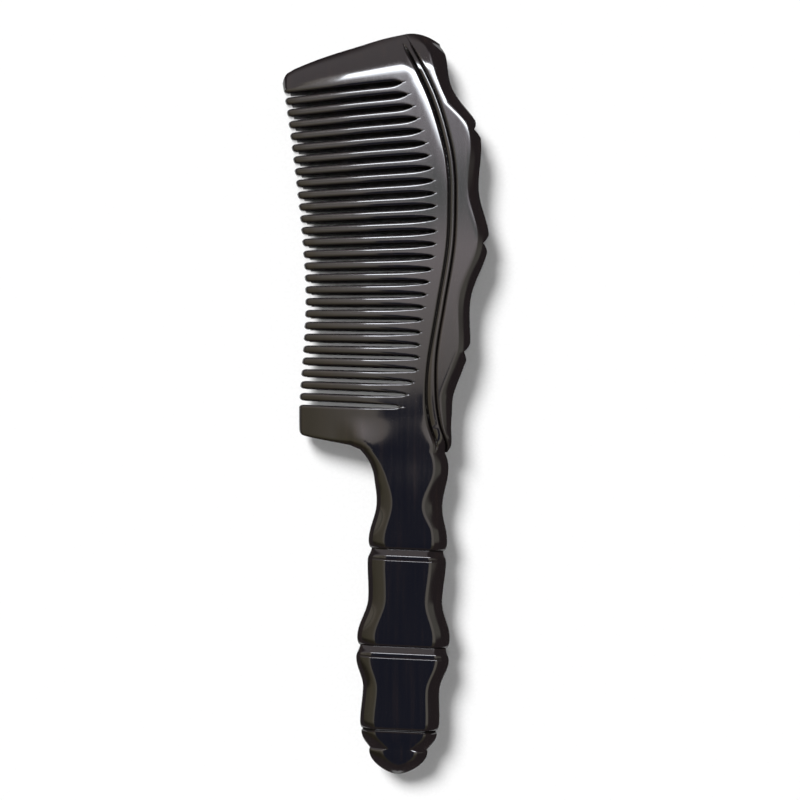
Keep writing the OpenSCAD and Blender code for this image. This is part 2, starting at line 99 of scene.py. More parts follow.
# Bamboo nodes of the spine rail along b, with the rail's width at each and at the waists between them
RAIL_NODES = [-13.2, 13.4, 41.2, 62.8]
RAIL_KNUCKLES = [8.9, 9.5, 8.5, 7.8]
RAIL_WAISTS = [6.9, 6.3, 5.0]
RAIL_FOOT = [(-38.4, 0.3), (-33.5, 2.4), (-28.5, 3.9), (-24, 4.8), (-18, 7.2), (-15, 8.3), (-13.2, 8.9)]
NODE_NOTCHES = [1.6, 1.6, 1.4, 0.5]
NODE_NOTCH_HALF = 2.4
NODE_NOTCH_POWER = 1.5
RAIL_TOP_B = 63.7
RAIL_TOP_BULGE = 1.0
RAIL_REACH = (4.0, 5.2)
RAIL_REACH_WIDENS = (42.0, 52.0)
FOOT_ROUND = 5.0

# The most of a narrow rail that its buffed edge, its shoulder and their columns take, as shares of its width
RAIL_REACH_MOST = 0.85
RAIL_SHOULDER_MOST = 1 / 3
RAIL_FOOT_MOST = 0.3
RAIL_EDGE_MOST = 0.1

# Ring joints down the handle, the half widths there and the half widths at the waist of each section
RING_AT = [26.4, 52.6, 75.0]
RING_HALF = [NECK_HALF + 0.8, NECK_HALF + 2.7, NECK_HALF + 0.9]
WAIST_HALF = [NECK_HALF, NECK_HALF + 1.1, NECK_HALF + 1.4]
SIDE_REACH = [4.5, 5.0, 4.0]
NECK_RIGHT_WIDENS = 1.25
NECK_LEFT_REACH = 2.6
BEVEL_LENGTH = 3.1
ROLL_LENGTH = 2.4
NECK_TOP_HALF = NECK_HALF + 1.2
NECK_TOP_AT = 4.5
NECK_RIGHT = NECK_HALF + 0.1
NECK_LEFT = NECK_HALF + 5.2
NECK_RISE = 14.0
FILLET_LENGTH = 7.5
FILLET_ROUND = 0.75
BUTT_LIP = 0.6
BUTT_TOP = (10.2, 4.5)
BUTT_GROOVE_AT = 80.2
BUTT_GROOVE = (7.7, 3.6)
DOME_START = 80.7
DOME_END = 87.3
DOME = (7.9, 3.7)
DOME_EDGE = 1.8
DOME_FULLNESS = 0.6
DOME_CUT = 0.985

# Hidden joints: a tang in the neck, a tongue in the spine rail and a core rod through the handle
TANG_WIDTH = 11.0
TANG_LENGTH = 13.0
TANG_ROOT = 3.0
TANG_HALF = 2.0
TONGUE_SPAN = (-26.0, 57.0)
TONGUE_DEPTH = 2.0
TONGUE_ROOT = 1.0
TONGUE_HALF = 1.0
ROD_RADIUS = 2.0
ROD_START = 15.0
ROD_END = DOME_END - 4.5
ROD_PLAY = 0.5
BORE_OVERRUN = 1.0
GLUE_GAP = 0.1


def lerp(p, q, t):
    return p + (q - p) * t


def clamp(t):
    return min(1.0, max(0.0, t))


def ease(t):
    c = clamp(t)
    return c * c * (3 - 2 * c)


def between(start, finish, x):
    """Eased share of the way from start to finish."""
    return ease((x - start) / (finish - start))


def roundover(d, r):
    """Quarter round that rises from 0 at an edge to 1 at a distance r from it."""
    return 1.0 if d >= r else math.sqrt(1 - (1 - max(0.0, d) / r) ** 2)


# A buffed edge: it falls away ever more steeply as far as the edge slope, then turns down in a small round
EDGE_SLOPE = 0.84
EDGE_ROUND = 0.25
EDGE_TURN = math.cos(math.atan(EDGE_SLOPE))
EDGE_SHELF = EDGE_ROUND * (1 - math.sin(math.atan(EDGE_SLOPE)))


def edge_keep(d, reach):
    """Share of the thickness that is left at a distance d from a buffed edge."""
    fall = EDGE_SLOPE * reach / 2 * clamp(1 - max(d, EDGE_SHELF) / reach) ** 2
    fall += EDGE_ROUND * max(0.0, EDGE_TURN - roundover(d, EDGE_ROUND))
    return 1 - fall / HANDLE_HALF


def slope(points, i):
    (x0, y0), (x1, y1) = points[max(0, i - 1)], points[min(len(points) - 1, i + 1)]
    return (y1 - y0) / (x1 - x0)


def curve(points, x):
    """Smooth curve through (x, y) points, read at x."""
    i = 0
    while i < len(points) - 2 and x >= points[i + 1][0]:
        i += 1
    (x0, y0), (x1, y1) = points[i], points[i + 1]
    width = x1 - x0
    t = (x - x0) / width
    bend = (1 - t) * slope(points, i) - t * slope(points, i + 1)
    return lerp(y0, y1, t * t * (3 - 2 * t)) + width * t * (1 - t) * bend


def steps(start, finish, count):
    """Even steps from start to finish, both included."""
    return [lerp(start, finish, i / count) for i in range(count + 1)]


def bell(t):
    return (1 + math.cos(2 * math.pi * t)) / 2 if t < 0.5 else 0.0


def bamboo(t, start, waist, finish):
    """Width of a bamboo section between two knuckles."""
    return waist + (start - waist) * bell(t) + (finish - waist) * bell(1 - t)


# Plan of the head and of the handle

def fan_xy(a, b):
    angle = b / FAN_RADIUS
    reach = FAN_RADIUS + a
    return FAN_CENTRE[0] + reach * math.cos(angle), FAN_CENTRE[1] + reach * math.sin(angle)


def fan_spread(a):
    """Millimetres across the teeth for one millimetre of b."""
    return 1 + a / FAN_RADIUS


ACROSS = (math.cos(HANDLE_LEAN), -math.sin(HANDLE_LEAN))
DOWN = (-math.sin(HANDLE_LEAN), -math.cos(HANDLE_LEAN))
NOTCH_XY = fan_xy(NOTCH[1], NOTCH[0])
JOINT_CENTRE = (NOTCH_XY[0] - NECK_RIGHT * ACROSS[0], NOTCH_XY[1] - NECK_RIGHT * ACROSS[1])


def handle_xy(u, v):
    """u runs across the handle to the right and v down its length from the blade joint."""
    return tuple(JOINT_CENTRE[i] + u * ACROSS[i] + v * DOWN[i] for i in range(2))


JOINT_OFFSET = sum((JOINT_CENTRE[i] - FAN_CENTRE[i]) * DOWN[i] for i in range(2))


def joint_b(a):
    """The straight joint with the neck."""
    return (math.acos(JOINT_OFFSET / (FAN_RADIUS + a)) - math.pi / 2 - HANDLE_LEAN) * FAN_RADIUS


JOINT_LEFT = handle_xy(-NECK_LEFT, 0)
JOINT_LEFT_A = math.dist(JOINT_LEFT, FAN_CENTRE) - FAN_RADIUS
HEEL_CORNER = -35.4
HEEL_LINE = [(curve(TIP_LINE, HEEL_CORNER), HEEL_CORNER), (0.35, -36.2), (1.2, -36.8), (5, -37.4),
             (JOINT_LEFT_A - 3.5, -38.3), (JOINT_LEFT_A - 1.1, -38.7), (JOINT_LEFT_A, joint_b(JOINT_LEFT_A))]
JOINT_SHARE = (JOINT_LEFT_A - HEEL_LINE[0][0]) / (NOTCH[1] - HEEL_LINE[0][0])


def heel_b(a):
    return curve(HEEL_LINE, a) if a < JOINT_LEFT_A else joint_b(a)


def spine_a(b):
    return curve(SPINE_LINE, b)


def slot_tip(i):
    return FIRST_SLOT + i * SLOT_STEP


def slot_end(i):
    return curve(SLOT_END_LINE, slot_tip(i))


def slot_b(i, a):
    """b of slot i at a: as far as their ends, the slots fan out a little less than the head does."""
    end, spine = slot_end(i), spine_a(slot_tip(i))
    share = a / end if a < end else (spine - a) / (spine - end)
    return slot_tip(i) + lerp(*SLOT_TURN, i / (SLOT_COUNT - 1)) * clamp(share)


def spine_half(b):
    return lerp(SPINE_FOOT_HALF, SPINE_TOP_HALF, (b - NOTCH[0]) / (TOP_RIGHT[0] - NOTCH[0]))


def ridge(b):
    """Distance of the scribed groove from the spine joint."""
    return lerp(RIDGE_WIDTH, RIDGE_FOOT_WIDTH, ease((RIDGE_WIDENS_FROM - b) / RIDGE_WIDENS_OVER))


# Saw slots: the nose of a tooth is (distance from the tip, share of the tooth's width), the point of a slot
# (distance before its end, share of the slot's width)
TIP_ROUND = 1.6
TOOTH_NOSE = [(0, 0.3), (0.15, 0.56), (0.4, 0.8), (0.8, 0.95), (TIP_ROUND, 1)]
SLOT_POINT = [(0, 0), (0.3, 0.45), (1.2, 0.8), (3, 0.98)]
TOOTH_HALF = (SLOT_STEP - SLOT_MOUTH) / 2
TIP_EDGE_SHARE = 0.5
CROWN_REACH = 0.7
CROWN_DROP = 0.5
CROWN_FADE = (13.0, 3.0)
CROWN_END = 0.3


def slot_half(i, a):
    """Half width of slot i at a."""
    from_tip = a - curve(TIP_LINE, slot_tip(i))
    to_end = slot_end(i) - a
    if from_tip < TIP_ROUND:
        return SLOT_STEP / 2 - TOOTH_HALF * curve(TOOTH_NOSE, max(0.0, from_tip))
    straight = lerp(SLOT_MOUTH, SLOT_ROOT, from_tip / (from_tip + to_end)) / 2
    return straight * min(1.0, curve(SLOT_POINT, min(to_end, SLOT_POINT[-1][0])) / SLOT_POINT[-1][1])


def slot_wall(i, side, a):
    """b of the wall of slot i at a, on its lower side (-1) or upper side (1)."""
    width = slot_half(i, a) if a < slot_end(i) else 0.0
    return slot_b(i, a) + side * width / fan_spread(a)


def slot_relief(i, a, b):
    """Drop of the face beside slot i: the teeth are crowned, less so towards the end of the slot."""
    fade = lerp(*CROWN_FADE, i / (SLOT_COUNT - 1))
    share = lerp(1, CROWN_END, ease((a - slot_end(i)) / fade + 1))
    side = abs(b - slot_b(i, a)) * fan_spread(a)
    past = a - slot_end(i)
    gap = side - slot_half(i, a) if past < 0 else math.hypot(side, past)
    return share * CROWN_DROP * (1 - roundover(gap, share * CROWN_REACH))


# Rows of the blade run from the tips to the spine joint. A heel row or top row is a share of the way to the
# heel edge or top edge; every other row is a share of the way between the two walls of its tooth
END_TOOTH = 1.6
HEEL_EDGE_B = FIRST_SLOT - END_TOOTH
GUARD_EDGE_B = LAST_SLOT + END_TOOTH
Row = namedtuple("Row", "b left right heel top walls share slots")
WALL_STEPS = [0, 0.04, 0.11, 0.2, 0.32, 0.48, 0.7]
HEEL_STEPS = [0, 0.003, 0.007, 0.013, 0.03, 0.06, 0.1, 0.15, 0.22, 0.3, 0.4, 0.5, 0.6, 0.7, 0.8, 0.9]
TOP_STEPS = [0.08, 0.16, 0.24, 0.32, 0.4, 0.48, 0.56, 0.64, 0.71, 0.78, 0.84, 0.89,
             0.93, 0.96, 0.985, 0.996, 1]


def heel_row(t):
    b = lerp(NOTCH[0], HEEL_EDGE_B, t)
    return Row(b, curve(TIP_LINE, lerp(HEEL_CORNER, HEEL_EDGE_B, t)), spine_a(b), t, 0, None, 0, [])


def top_row(t):
    b = lerp(GUARD_EDGE_B, TOP_RIGHT[0], t)
    return Row(b, curve(TIP_LINE, lerp(GUARD_EDGE_B, TOP_LINE[0][1], t)), spine_a(b), 1, t, None, 0, [])


def tooth_row(low, high, t):
    """Row at share t between the slots numbered low and high; the heel lies below slot 0."""
    slots = [i for i in (low, high) if 0 <= i < SLOT_COUNT]
    low_b = slot_tip(low) if low >= 0 else HEEL_EDGE_B
    high_b = slot_tip(high) if high < SLOT_COUNT else GUARD_EDGE_B
    b = lerp(low_b, high_b, t)
    return Row(b, curve(TIP_LINE, b), spine_a(b), 1, 0, (low, high), t, slots)


def blade_strips():
    """Rows from the heel to the top, in strips that part along the saw slots."""
    rising = [1 - t for t in reversed(WALL_STEPS)]
    both = [t / 2 for t in WALL_STEPS] + [0.5] + [1 - t / 2 for t in reversed(WALL_STEPS)]
    heel = [heel_row(t) for t in HEEL_STEPS] + [tooth_row(-1, 0, t) for t in [0] + rising]
    teeth = [[tooth_row(i, i + 1, t) for t in both] for i in range(SLOT_COUNT - 1)]
    last = SLOT_COUNT - 1
    guard = [tooth_row(last, last + 1, t) for t in WALL_STEPS + [1]] + [top_row(t) for t in TOP_STEPS]
    return [heel] + teeth + [guard]


def wall_b(slot, side, a):
    if slot < 0:
        return HEEL_EDGE_B
    if slot >= SLOT_COUNT:
        return GUARD_EDGE_B
    return slot_wall(slot, side, a)


def blade_ab(row, s):
    """a and b of the blade at share s of the way along a row."""
    a = lerp(row.left, row.right, s)
    if row.heel < 1:
        b = lerp(heel_b(lerp(HEEL_LINE[0][0], NOTCH[1], s)), HEEL_EDGE_B, row.heel)
    elif row.top > 0:
        b = lerp(GUARD_EDGE_B, curve(TOP_LINE, lerp(TOP_LINE[0][0], TOP_RIGHT[1], s)), row.top)
    else:
        low, high = row.walls
        b = lerp(wall_b(low, 1, a), wall_b(high, -1, a), row.share)
    return a, b


# Columns across a row: the rounded tip, the tooth with a point at the neck joint, the end of the slots, the
# scribed groove and the groove on the spine joint
TIP_STEPS = [0, 0.04, 0.12, 0.25, 0.45, 0.7, 1.1, TIP_ROUND]
BEFORE_END = [3, 2.3, 1.7, 1.2, 0.8, 0.5, 0.25, 0.1, 0]
SHOULDER_STEPS = [SHOULDER, 0.48, 0.36, 0.25, 0.15, 0.08, 0.03, 0]
OUTER_COLUMNS = 6
INNER_COLUMNS = 9
PLAIN_COLUMNS = 9
GROOVE_COLUMNS = 10
END_COLUMN = len(TIP_STEPS) + OUTER_COLUMNS + INNER_COLUMNS - 1 + len(BEFORE_END) - 1


def blade_shares(row):
    width = row.right - row.left
    at = min(LAST_SLOT, max(FIRST_SLOT, row.b))
    left = curve(TIP_LINE, at)
    end = (curve(SLOT_END_LINE, at) - left) / (spine_a(at) - left)
    tip = TIP_ROUND / width
    body = end - BEFORE_END[0] / width
    groove = [1 - (ridge(row.b) + x * GROOVE_HALF) / width for x in steps(1, -1, GROOVE_COLUMNS)]
    return ([d / width for d in TIP_STEPS]
            + steps(tip, JOINT_SHARE, OUTER_COLUMNS)[1:]
            + steps(JOINT_SHARE, body, INNER_COLUMNS)[1:-1]
            + [end - d / width for d in BEFORE_END]
            + steps(end, groove[0], PLAIN_COLUMNS)[1:-1]
            + groove
            + [1 - d / width for d in SHOULDER_STEPS])


HEEL_REACH = 1.0
HEEL_WIDENS_FROM = 0.6
GUARD_REACH = (5.9, 11.6)
GUARD_DROP = 0.72
GROOVE_TOP = (0.45, 0.8)
NECK_BLEND = 0.12
GROOVE_FADE = 0.6
FLAT_SHARE = 0.8
HEEL_ROW = heel_row(0)
TOP_ROW = top_row(1)


def groove_share(row):
    """Share of their depth that the grooves have on a row: they run out towards the neck and the top edge."""
    return ease(row.heel / GROOVE_FADE) * (1 - between(*GROOVE_TOP, row.top))


def guard_drop(from_top, s):
    """Share of the thickness taken off by the bevel along the top edge."""
    return GUARD_DROP * clamp(1 - from_top / lerp(*GUARD_REACH, s)) ** 2


def blade_half(row, s):
    """Half thickness of the blade: the plate, blended into the neck, with round edges and grooves."""
    a, b = blade_ab(row, s)
    xy = fan_xy(a, b)
    opening = groove_share(row)
    rise = 1 - (1 - min(1.0, s / FLAT_SHARE)) ** 2
    plate = lerp(TIP_HALF, spine_half(row.b) - PLATE_STEP, rise)
    neck_share = ease((s - JOINT_SHARE) / NECK_BLEND + 1) * (1 - ease(row.heel))
    full = lerp(plate, JOINT_HALF, neck_share)
    tip = roundover(a - row.left, TIP_ROUND)
    half = full * lerp(TIP_EDGE_SHARE, 1, tip)
    from_spine = row.right - a
    if row.heel < 1:
        heel_xy = fan_xy(*blade_ab(HEEL_ROW, s))
        from_corner = FILLET_ROUND * math.dist(heel_xy, JOINT_LEFT) if s > JOINT_SHARE else 0.0
        reach = lerp(HEEL_REACH, NECK_LEFT_REACH, between(HEEL_WIDENS_FROM, 1, s / JOINT_SHARE))
        half *= edge_keep(math.dist(xy, heel_xy) + from_corner, reach)
        half *= lerp(edge_keep(from_spine, SIDE_REACH[0]), 1, opening)
    if row.top > 0:
        half *= 1 - guard_drop(math.dist(xy, fan_xy(*blade_ab(TOP_ROW, s))), s)
    joint = 1 - roundover(from_spine, SHOULDER)
    off_groove = from_spine - ridge(row.b)
    scribe = bell(abs(off_groove) / GROOVE_HALF / 2)
    if off_groove > 0:
        bank = max(between(*TOP_BANK, row.b), between(*FOOT_BANK, row.b))
        half -= BANK_DROP * opening * bank * clamp(1 - off_groove / BANK_REACH) ** 2
    relief = max([slot_relief(i, a, b) for i in row.slots], default=0.0)
    return half - GROOVE_DEPTH * opening * (joint + scribe) - relief * tip


# Spine rail

def rail_width(b):
    """Width of the rail along b, before it is notched."""
    if b < RAIL_NODES[0]:
        return curve(RAIL_FOOT, b)
    i = max(n for n in range(len(RAIL_WAISTS)) if b >= RAIL_NODES[n])
    t = clamp((b - RAIL_NODES[i]) / (RAIL_NODES[i + 1] - RAIL_NODES[i]))
    return bamboo(t, RAIL_KNUCKLES[i], RAIL_WAISTS[i], RAIL_KNUCKLES[i + 1])


def node_notch(b):
    """Depth of the notch at each bamboo node."""
    return max(depth * clamp(1 - abs(b - node) / NODE_NOTCH_HALF) ** NODE_NOTCH_POWER
               for node, depth in zip(RAIL_NODES, NODE_NOTCHES))


RailRow = namedtuple("RailRow", "inner outer top")
RAIL_STEP = 0.4
RAIL_FOOT_STEPS = [0.03, 0.05, 0.08, 0.12] + steps(0.18, 1, 20)[:-1]
RAIL_COLUMNS = 18


def rail_rows():
    """Rows from the foot to the top, with one on each bamboo node."""
    foot = [lerp(NOTCH[0], HEEL_EDGE_B, t) for t in RAIL_FOOT_STEPS]
    stations = [HEEL_EDGE_B] + RAIL_NODES[:-1] + [GUARD_EDGE_B]
    body = []
    for low, high in zip(stations, stations[1:]):
        body += steps(low, high, round((high - low) / RAIL_STEP))[:-1]
    top = [RailRow(lerp(GUARD_EDGE_B, TOP_RIGHT[0], t), lerp(GUARD_EDGE_B, RAIL_TOP_B, t), t)
           for t in [0] + TOP_STEPS]
    return [RailRow(b, b, 0) for b in foot + body] + top


def rail_xy(row, s):
    outer = spine_a(row.outer) + rail_width(row.outer) - node_notch(row.outer)
    bulge = RAIL_TOP_BULGE * row.top * 4 * s * (1 - s)
    return fan_xy(lerp(spine_a(row.inner), outer, s), lerp(row.inner, row.outer, s) + bulge)


RAIL_TOP_ROW = RailRow(TOP_RIGHT[0], RAIL_TOP_B, 1)


def rail_half(row, s):
    """Half thickness of the rail: flat, buffed away outside and at both ends, dropped into the groove."""
    xy, inner, outer = rail_xy(row, s), rail_xy(row, 0), rail_xy(row, 1)
    width = math.dist(inner, outer)
    reach = min(lerp(*RAIL_REACH, between(*RAIL_REACH_WIDENS, row.outer)), RAIL_REACH_MOST * width)
    half = spine_half(row.inner)
    half *= edge_keep(math.dist(xy, outer) + node_notch(row.outer), reach)
    half *= edge_keep(math.dist(xy, NOTCH_XY), FOOT_ROUND)
    if row.top > 0:
        half *= 1 - guard_drop(math.dist(xy, rail_xy(RAIL_TOP_ROW, s)), 1)
    joint = 1 - roundover(math.dist(xy, inner), min(SHOULDER, RAIL_SHOULDER_MOST * width))
    return half - PLATE_STEP * joint - GROOVE_DEPTH * (1 - between(*GROOVE_TOP, row.top)) * joint


EDGE_COLUMNS = 4
EDGE_STEPS = [EDGE_SHELF * (i / EDGE_COLUMNS) ** 2 for i in range(EDGE_COLUMNS)]


def rail_shares(row):
    width = math.dist(rail_xy(row, 0), rail_xy(row, 1))
    foot = min(SHOULDER / width, RAIL_FOOT_MOST)
    edge = 1 - min(EDGE_SHELF / width, RAIL_EDGE_MOST)
    return ([foot * d / SHOULDER for d in reversed(SHOULDER_STEPS)]
            + steps(foot, edge, RAIL_COLUMNS)[1:]
            + [1 - min(d / width, RAIL_EDGE_MOST) for d in reversed(EDGE_STEPS)])


# Handle sections

# Rows along each form of the handle
NECK_ROWS = 60
ROLL_ROWS = 12
BEVEL_ROWS = 36
BODY_ROWS = 40
BUTT_ROWS = 24
DOME_ROWS = 32

# Columns across a buffed side, the most of the half width that it takes, and the flat land between two sides
SIDE_COLUMNS = 16
SIDE_MOST = 0.95
LAND_STEPS = (0.25, 0.5, 0.75)


def side_profile(width, half, reach, slant):
    """Points (distance in, height) of a buffed side. The slant is the share that the true distance from a
    slanting outline is of the distance across the handle."""
    run = min(reach / slant, SIDE_MOST * width)
    inward = EDGE_STEPS + steps(EDGE_SHELF, run, SIDE_COLUMNS)
    return [(d, half * edge_keep(d * slant, reach)) for d in inward]


def handle_row(v, half, left, right):
    """Upper half of a cross-section at v: a flat land between two sides, each (width, reach, slant)."""
    left_side = [(d - left[0], z) for d, z in side_profile(left[0], half, *left[1:])]
    right_side = [(right[0] - d, z) for d, z in reversed(side_profile(right[0], half, *right[1:]))]
    (u0, z0), (u1, z1) = left_side[-1], right_side[0]
    land = [(lerp(u0, u1, t), lerp(z0, z1, t)) for t in LAND_STEPS]
    return [(*handle_xy(u, v), z) for u, z in left_side + land + right_side]


def even_row(v, half_width, half, reach, slant=1.0):
    return handle_row(v, half, (half_width, reach, slant), (half_width, reach, slant))


def roll_rows(i):
    """A rolled shoulder that ends a section at ring joint i."""
    return [even_row(RING_AT[i] - ROLL_LENGTH * (1 - math.sin(q)), RING_HALF[i] + RING_DEPTH * math.cos(q),
                     HANDLE_HALF - RING_DEPTH * (1 - math.cos(q)), SIDE_REACH[i])
            for q in steps(0, math.pi / 2, ROLL_ROWS)[1:]]


# The start of a section after a ring joint, as (distance down, share of the ring's depth): a bevel with a
# round foot, a fine crease and the eased edge of the body
BEVEL = [(0, 1), (0.8, 0.56), (1.6, 0.1), (1.75, 0.05), (2.1, 0.04), (2.45, 0.05), (2.65, 0.2), (2.75, 0.21),
         (2.85, 0.12), (2.95, 0.03), (3.05, 0), (3.2, 0)]
BEVEL_LIP = BEVEL[-1][0] - BEVEL_LENGTH


def bevel_rows(i):
    return [even_row(RING_AT[i] + d, RING_HALF[i] + RING_DEPTH * ease(d / BEVEL_LENGTH),
                     HANDLE_HALF - RING_DEPTH * curve(BEVEL, d), SIDE_REACH[i + 1])
            for d in steps(0, BEVEL[-1][0], BEVEL_ROWS)[:-1]]


def body_rows(i):
    """Rows of the body of section i between its bevel and its rolled shoulder."""
    start, finish = RING_AT[i - 1] + BEVEL_LENGTH, RING_AT[i] - ROLL_LENGTH
    wide, narrow = RING_HALF[i - 1] + RING_DEPTH, RING_HALF[i] + RING_DEPTH
    lip = BEVEL_LIP / (finish - start)
    return [even_row(lerp(start, finish, t), bamboo(t, wide, WAIST_HALF[i], narrow),
                     HANDLE_HALF, SIDE_REACH[i])
            for t in steps(lip, 1, BODY_ROWS)]


def neck_row(v):
    """At the top of the neck its left side spreads into the heel and its right side starts from the notch."""
    spread = clamp(1 - v / FILLET_LENGTH) ** 2
    t = (v - NECK_TOP_AT) / (RING_AT[0] - ROLL_LENGTH - NECK_TOP_AT)
    base = bamboo(t, NECK_TOP_HALF, NECK_HALF, RING_HALF[0] + RING_DEPTH) if t > 0 else NECK_TOP_HALF
    right = lerp(base, NECK_RIGHT, clamp(1 - v / NECK_TOP_AT) ** 2)
    rise = ease(v / NECK_RISE)
    half = lerp(JOINT_HALF, HANDLE_HALF, rise)
    left_reach = lerp(NECK_LEFT_REACH, SIDE_REACH[0], rise)
    right_reach = SIDE_REACH[0] + NECK_RIGHT_WIDENS * max(0.0, NECK_TOP_HALF - base)
    left = base + (NECK_LEFT - NECK_TOP_HALF) * spread
    return handle_row(v, half, (left, left_reach, lerp(1, FILLET_ROUND, spread)), (right, right_reach, 1))


def butt_width(t):
    return lerp(BUTT_GROOVE[0], BUTT_TOP[0], math.cos(math.pi / 2 * t))


def dome_width(t):
    return DOME[0] * math.cos(math.pi / 2 * DOME_CUT * t) ** DOME_FULLNESS


def closing_row(width, start, finish, half, t):
    """Row at share t of an end that closes in, whose outline slants ever more."""
    step = 0.01
    closing = (width(t) - width(t + step)) / (step * (finish - start))
    return even_row(lerp(start, finish, t), width(t), half, SIDE_REACH[2], 1 / math.hypot(1, closing))


def butt_row(t):
    half = lerp(BUTT_GROOVE[1], BUTT_TOP[1], math.cos(math.pi / 2 * t))
    return closing_row(butt_width, RING_AT[2] + BUTT_LIP, BUTT_GROOVE_AT, half, t)


def dome_row(t):
    return closing_row(dome_width, DOME_START, DOME_END, lerp(DOME[1], DOME_EDGE, t * t), t)


# Meshes

TONGUE_ROWS = 80
BORE_SIDES = 24

# A face whose normal rises less than this is a wall
WALL_RISE = 0.1

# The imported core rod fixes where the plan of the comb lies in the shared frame
rod_low, rod_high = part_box("core_rod")
rod_middle = (*handle_xy(0, (ROD_START + ROD_END) / 2), 0.0)
SHIFT = [(rod_low[i] + rod_high[i]) / 2 / MM - rod_middle[i] for i in range(3)]


def placed(x, y, z):
    return [(p + d) * MM for p, d in zip((x, y, z), SHIFT)]


def lines_to_faces(lines):
    """Quads between lines of point numbers that run left to right and follow one another up the comb."""
    return [(low[c], low[c + 1], high[c + 1], high[c])
            for low, high in zip(lines, lines[1:]) for c in range(len(low) - 1)]


def two_faced(name, points, faces):
    """Closed piece: an upper face given as points (x, y, half thickness), its mirror image and the walls."""
    count = len(points)
    edges = {(f[i], f[(i + 1) % 4]) for f in faces for i in range(4)}
    rim = [(u, v) for u, v in edges if (v, u) not in edges]
    under = [tuple(i + count for i in reversed(f)) for f in faces]
    walls = [(u, u + count, v + count, v) for u, v in sorted(rim)]
    mesh = bpy.data.meshes.new(name)
    mesh.from_pydata([placed(x, y, z) for x, y, z in points] + [placed(x, y, -z) for x, y, z in points], [],
                     faces + under + walls)
    piece = bpy.data.objects.new(name, mesh)
    bpy.context.scene.collection.objects.link(piece)
    return piece


def from_rows(name, rows):
    """Closed piece from rows of upper points that follow one another up the comb."""
    width = len(rows[0])
    lines = [range(r * width, (r + 1) * width) for r in range(len(rows))]
    return two_faced(name, [p for row in rows for p in row], lines_to_faces(lines))


def carve(piece, tool, operation):
    """Joins a tool to a piece or cuts it out, and uses the tool up."""
    change = piece.modifiers.new(operation, "BOOLEAN")
    change.operation = operation
    change.solver = "EXACT"
    change.object = tool
    graph = bpy.context.evaluated_depsgraph_get()
    mesh = bpy.data.meshes.new_from_object(piece.evaluated_get(graph))
    piece.modifiers.clear()
    piece.data = mesh
    bpy.data.objects.remove(tool)


def tang(gap):
    """Tang of the blade inside the neck, grown by the gap for its mortise."""
    side = TANG_WIDTH / 2 + gap
    return from_rows("tang", [[(*handle_xy(u, v), TANG_HALF + gap) for u in (-side, side)]
                              for v in (TANG_LENGTH + gap, -TANG_ROOT)])


def tongue(gap):
    """Tongue of the blade inside the spine rail, grown by the gap for its groove."""
    return from_rows("tongue", [[(*fan_xy(spine_a(b) + d, b), TONGUE_HALF + gap)
                                 for d in (-TONGUE_ROOT, TONGUE_DEPTH + gap)]
                                for b in steps(TONGUE_SPAN[0] - gap, TONGUE_SPAN[1] + gap, TONGUE_ROWS)])


def bore(start, finish):
    """Round bore along the handle for the core rod."""
    radius = ROD_RADIUS + GLUE_GAP
    circle = steps(0, math.pi, BORE_SIDES)
    return from_rows("bore", [[(*handle_xy(-radius * math.cos(q), v), radius * math.sin(q)) for q in circle]
                              for v in (finish, start)])


def in_slot(point):
    """Whether a point of the blade lies on the walls of the saw slots, behind the tips."""
    x, y = [point[i] / MM - SHIFT[i] - FAN_CENTRE[i] for i in range(2)]
    a, b = math.hypot(x, y) - FAN_RADIUS, math.atan2(y, x) * FAN_RADIUS
    inside = FIRST_SLOT - SLOT_STEP / 2 < b < LAST_SLOT + SLOT_STEP / 2
    return inside and curve(TIP_LINE, b) + TIP_ROUND < a < curve(SLOT_END_LINE, b) + SLOT_ROOT


def make_blade():
    points, faces = [], []
    below = []
    for strip in blade_strips():
        lines = []
        for row in strip:
            shared = below[END_COLUMN:] if not lines else []
            line = []
            for s in blade_shares(row)[:END_COLUMN if shared else None]:
                line.append(len(points))
                points.append((*fan_xy(*blade_ab(row, s)), blade_half(row, s)))
            lines.append(line + shared)
        faces += lines_to_faces(lines)
        below = lines[-1]
    blade = two_faced("horn_blade", points, faces)
    carve(blade, tongue(0), "UNION")
    carve(blade, tang(0), "UNION")
    for face in blade.data.polygons:
        face.material_index = int(in_slot(face.center) and abs(face.normal.z) < WALL_RISE)
    return blade


def make_spine():
    spine = from_rows("horn_spine", [[(*rail_xy(row, s), rail_half(row, s)) for s in rail_shares(row)]
                                     for row in rail_rows()])
    carve(spine, tongue(GLUE_GAP), "DIFFERENCE")
    return spine


def make_section(name, rows, start, finish):
    """One section of the handle from its rows, which follow one another down it, with its bore."""
    section = from_rows(name, rows[::-1])
    carve(section, bore(start, finish), "DIFFERENCE")
    return section


def make_neck():
    rows = [neck_row(v) for v in steps(0, RING_AT[0] - ROLL_LENGTH, NECK_ROWS)] + roll_rows(0)
    neck = make_section("horn_neck", rows, ROD_START - ROD_PLAY, RING_AT[0] + BORE_OVERRUN)
    carve(neck, tang(GLUE_GAP), "DIFFERENCE")
    return neck


def make_body(name, i):
    rows = bevel_rows(i - 1) + body_rows(i) + roll_rows(i)
    return make_section(name, rows, RING_AT[i - 1] - BORE_OVERRUN, RING_AT[i] + BORE_OVERRUN)


def make_butt():
    lip = even_row(RING_AT[2], RING_HALF[2], HANDLE_HALF - RING_DEPTH, SIDE_REACH[2])
    round_end = [math.sin(q) for q in steps(0, math.pi / 2, DOME_ROWS)]
    rows = [lip] + [butt_row(t) for t in steps(0, 1, BUTT_ROWS)] + [dome_row(t) for t in round_end]
    return make_section("horn_butt", rows, RING_AT[2] - BORE_OVERRUN, ROD_END + ROD_PLAY)


# Materials

